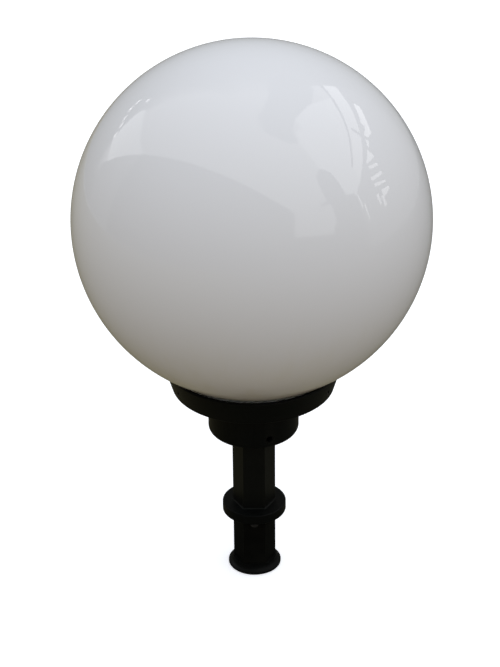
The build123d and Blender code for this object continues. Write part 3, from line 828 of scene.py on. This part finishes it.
# Bright gaps in the right board: each runs from one azimuth to another, with its low and high edge at both.
GAPS = (
    ((119, 26.5, 31.5), (133, 28.0, 31.0)),
    ((112, 28.5, 30.5), (119, 25.5, 29.5)),
    ((106, 27.5, 28.5), (110, 27.8, 29.6)),
    ((95, 25.6, 26.6), (104, 23.4, 28.0)),
    ((94, 23.2, 24.9), (102, 20.1, 21.4)),
    ((90, 19.1, 21.0), (101, 16.2, 17.6)),
    ((90, 16.0, 17.8), (100, 12.8, 13.6)),
    ((93, 9.2, 12.6), (100, 9.2, 10.8)),
    ((87.5, 8.0, 13.0), (89.5, 8.0, 13.0)),
    ((91, 5.5, 10.5), (93, 5.5, 10.0)),
    ((74, 13.0, 20.0), (75, 13.0, 20.0)),
    ((76, 5.5, 14.0), (77, 5.5, 14.0)),
)
for number, gap in enumerate(GAPS):
    board(f"gap_{number}", gap, bright_board, BOARD_DISTANCE - 0.1)

# Small ones glint in the rear board's left end.
GLINTS = ((-128, 14.5), (-131, 17.0), (-134, 17.5), (-138, 18.5), (-140, 21.0), (-137, 28.0))
for number, (way, low) in enumerate(GLINTS):
    glint = [(way - 1.2, low, low + 2.2), (way + 0.6, low - 0.6, low + 1.0)]
    board(f"glint_{number}", glint, bright_board, BOARD_DISTANCE - 0.1)

# A paler panel leans before the low board.
panel_board = board_glow("Panel board", colour(0.95, 0.95, 0.95), 1.0)
LOW_PANEL = ((26, 12, 14), (29, 11.5, 29), (50, 8, 24), (54, 14, 24))
board("low_panel", LOW_PANEL, panel_board, BOARD_DISTANCE - 0.15)

# ------------------------------------------------------------------ dark cloth
# A round cloth on the floor under the light, inside the boards, which only reflections see as well. It is
# warmer on the left, with a painted shadow that makes it darkest round the stem.


def cloth_finish():
    """A dim glow that runs from a warm brown at the left to grey at the right, with a painted shadow round
    the stem that fades outwards.
    """
    finish = Finish("Dark cloth")
    place = finish.place()
    rightward = finish.node("SeparateXYZ", {}, {0: place}, output=0).between(-1.2, 0.8)
    # Painted shadow: darkest round the stem, where the light stands over the cloth, and clearing outwards.
    clear_of_painted_shadow = finish.node("VectorMath", {"operation": "LENGTH"}, {0: place}, output=1).between(0.04, 0.14)
    open_cloth = finish.mix(rightward, colour(0.205, 0.178, 0.075), colour(0.115, 0.117, 0.100))
    shade = finish.mix(clear_of_painted_shadow, colour(0.070, 0.070, 0.060), open_cloth)
    glow = finish.node("Emission", {}, {"Color": shade, "Strength": 1.0})
    finish.show(glow)
    finish.material.cycles.emission_sampling = "NONE"
    return finish.material


CLOTH_HOLE = 0.5  # radius of the small hole in its middle, in mm
CLOTH_DROP = 0.0001  # lies between the floor and the shoe, in metres
cloth_edge = [(CLOTH_HOLE, 0, 0), (BOARD_DISTANCE / MM, 0, 0)]
cloth = lathe("dark_cloth", cloth_edge, cloth_finish(), closed=False, turns=48)
cloth.location.z = -CLOTH_DROP
reflections_only(cloth)

# ------------------------------------------------------------------ camera
# The photograph was taken from 24 degrees above the light's middle, at about 1.4 m, leaning half a degree.
# The values are those that bring the outlines of the globe, the fitter and the stem over the photograph's.

PHOTO_WIDTH, PHOTO_HEIGHT = 500, 667
GLOBE_PIXEL = (251.7, 220.56)  # where the globe's centre is in the photograph
DISTANCE = 1.4
ELEVATION = 24.14
LEAN = -0.53
FOCAL_PIXELS = 1680.0
SENSOR = 36.0

camera_data = bpy.data.cameras.new("Camera")
camera_data.sensor_width = SENSOR
camera_data.lens = FOCAL_PIXELS / PHOTO_HEIGHT * SENSOR
camera = bpy.data.objects.new("Camera", camera_data)
bpy.context.scene.collection.objects.link(camera)
bpy.context.scene.camera = camera

lift = radians(ELEVATION)
position = middle + DISTANCE * Vector((0, -cos(lift), sin(lift)))
forward = (middle - position).normalized()
right = forward.cross(Vector((0, 0, 1))).normalized()
upright = Matrix((right, right.cross(forward), -forward)).transposed()
off_right = (GLOBE_PIXEL[0] - PHOTO_WIDTH / 2) / FOCAL_PIXELS
off_up = (PHOTO_HEIGHT / 2 - GLOBE_PIXEL[1]) / FOCAL_PIXELS
sight = Vector((off_right, off_up, -1))
aim = Vector((0, 0, -1)).rotation_difference(sight.normalized()).to_matrix()
turned = upright @ Matrix.Rotation(radians(LEAN), 3, "Z") @ aim.transposed()
camera.matrix_world = Matrix.Translation(position) @ turned.to_4x4()

bpy.context.scene.view_settings.view_transform = "Standard"
